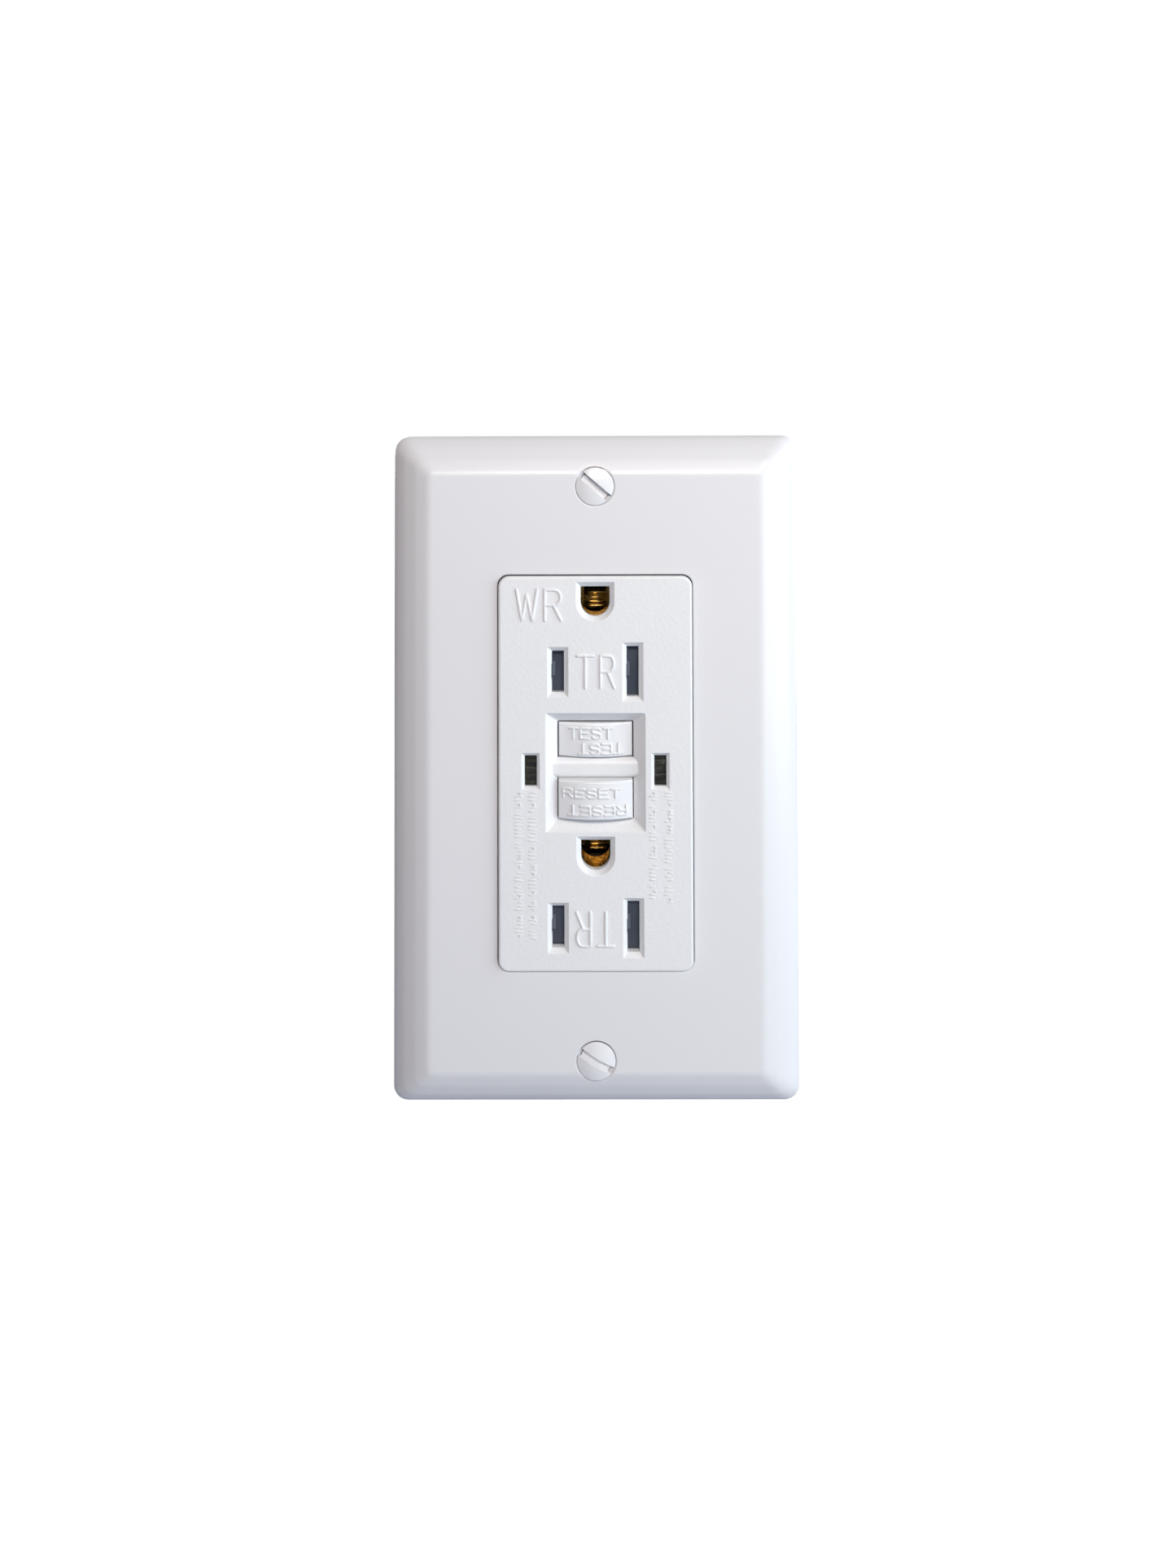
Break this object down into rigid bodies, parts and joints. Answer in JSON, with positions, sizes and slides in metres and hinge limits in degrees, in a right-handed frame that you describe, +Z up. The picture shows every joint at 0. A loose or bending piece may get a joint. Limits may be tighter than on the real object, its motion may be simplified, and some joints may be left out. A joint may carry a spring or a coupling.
{
  "type": "gfci outlet",
  "caption": "One-gang ground-fault receptacle with bevelled cover plate, sprung test and reset buttons, shuttered blade slots, trip mechanism and wiring terminals behind.",
  "frame": {"origin": "in the wall plane, midway between the two box screws", "axes": "+X to the right of someone facing the outlet, +Y into the wall, +Z up"},
  "size_m": [0.0698, 0.0339, 0.1142],
  "materials": {
    "plate_plastic": "moulded white thermoplastic, satin gloss",
    "white_paint": "white painted steel head",
    "face_plastic": "moulded white thermoplastic, fine grain",
    "button_plastic": "moulded white thermoplastic, glossy",
    "steel": "plain steel",
    "spring_steel": "spring wire",
    "clear_guide": "clear light guide, looks dark olive when unlit",
    "lamp": "clear epoxy lamp",
    "zinc_steel": "zinc-plated steel",
    "green_steel": "green coated steel",
    "fibre": "fibre washer",
    "brass": "stamped brass",
    "brass_screw": "brass-coloured hot side",
    "nickel_screw": "silver-coloured neutral side",
    "silver": "silver alloy contact",
    "shutter_plastic": "dark blue-grey",
    "tray_plastic": "dark grey",
    "carrier_plastic": "black moulding",
    "carriage_plastic": "dark red-brown moulding",
    "bobbin_plastic": "natural nylon",
    "copper": "enamelled copper winding",
    "board": "green laminate",
    "black_plastic": "black epoxy",
    "varistor_blue": "blue epoxy coat",
    "capacitor_yellow": "yellow case",
    "resistor_tan": "tan coat",
    "housing_plastic": "light grey moulding"
  },
  "bodies": {
    "device": {"wall_plate": "plate_plastic", "plate_screws": "white_paint", "face_cover": "face_plastic", "test_spring": "spring_steel", "reset_spring": "spring_steel", "left_light_pipe": "clear_guide", "right_light_pipe": "clear_guide", "indicator_lamps": "lamp", "mounting_strap": "zinc_steel", "ground_screw": "green_steel", "box_screws": "zinc_steel", "screw_retainers": "fibre", "upper_ground_contact": "brass", "lower_ground_contact": "brass", "ground_rivets": "brass", "upper_shutter_tray": "tray_plastic", "lower_shutter_tray": "tray_plastic", "upper_shutter_spring": "spring_steel", "lower_shutter_spring": "spring_steel", "contact_carrier": "carrier_plastic", "hot_face_contact": "brass", "neutral_face_contact": "brass", "load_hot_terminal": "brass", "line_hot_terminal": "brass", "load_neutral_terminal": "brass", "line_neutral_terminal": "brass", "hot_terminal_screws": "brass_screw", "neutral_terminal_screws": "nickel_screw", "hot_clamp_plates": "brass_screw", "neutral_clamp_plates": "nickel_screw", "fixed_contact_tips": "silver", "solenoid_bobbin": "bobbin_plastic", "solenoid_winding": "copper", "solenoid_frame": "zinc_steel", "plunger_spring": "spring_steel", "circuit_board": "board", "control_chip": "black_plastic", "thyristor": "black_plastic", "varistor": "varistor_blue", "film_capacitor": "capacitor_yellow", "diodes": "black_plastic", "resistors": "resistor_tan", "transformer_housing": "black_plastic", "sense_core": "copper", "neutral_core": "copper", "test_contact": "brass", "rear_housing": "housing_plastic", "housing_screws": "steel"},
    "test_button_body": {"test_button": "button_plastic"},
    "reset_button_body": {"reset_button": "button_plastic", "reset_pin": "steel"},
    "contact_carriage_body": {"contact_carriage": "carriage_plastic", "hot_contact_bridge": "brass", "neutral_contact_bridge": "brass", "moving_contact_tips": "silver", "latch_spring": "spring_steel"},
    "latch_plate_body": {"latch_plate": "steel"},
    "plunger_body": {"solenoid_plunger": "steel"},
    "upper_shutter_body": {"upper_shutter": "shutter_plastic"},
    "lower_shutter_body": {"lower_shutter": "shutter_plastic"}
  },
  "joints": [
    {"name": "test_press", "type": "slide", "parent": "device", "child": "test_button_body", "axis": [0, 1, 0], "range_m": [0, 0.0011], "stiffness_N_per_m": 700, "springref_m": -0.001, "deforming": ["test_spring"]},
    {"name": "reset_press", "type": "slide", "parent": "device", "child": "reset_button_body", "axis": [0, 1, 0], "range_m": [-0.0013, 0.0015], "stiffness_N_per_m": 600, "deforming": ["reset_spring"]},
    {"name": "carriage_drop", "type": "slide", "parent": "device", "child": "contact_carriage_body", "axis": [0, 1, 0], "range_m": [0, 0.0012], "stiffness_N_per_m": 500, "springref_m": -0.001},
    {"name": "latch_slide", "type": "slide", "parent": "contact_carriage_body", "child": "latch_plate_body", "axis": [0, 0, -1], "range_m": [0, 0.0012], "stiffness_N_per_m": 400, "springref_m": -0.0005, "deforming": ["latch_spring"]},
    {"name": "plunger_slide", "type": "slide", "parent": "device", "child": "plunger_body", "axis": [0, 0, -1], "range_m": [0, 0.0012], "stiffness_N_per_m": 400, "springref_m": -0.0005, "deforming": ["plunger_spring"]},
    {"name": "upper_shutter_slide", "type": "slide", "parent": "device", "child": "upper_shutter_body", "axis": [-1, 0, 0], "range_m": [0, 0.0032], "stiffness_N_per_m": 100, "springref_m": -0.001, "deforming": ["upper_shutter_spring"]},
    {"name": "lower_shutter_slide", "type": "slide", "parent": "device", "child": "lower_shutter_body", "axis": [-1, 0, 0], "range_m": [0, 0.0032], "stiffness_N_per_m": 100, "springref_m": -0.001, "deforming": ["lower_shutter_spring"]}
  ],
  "couplings": [
    {"joint": "latch_slide", "follows": "plunger_slide", "ratio": 1}
  ]
}
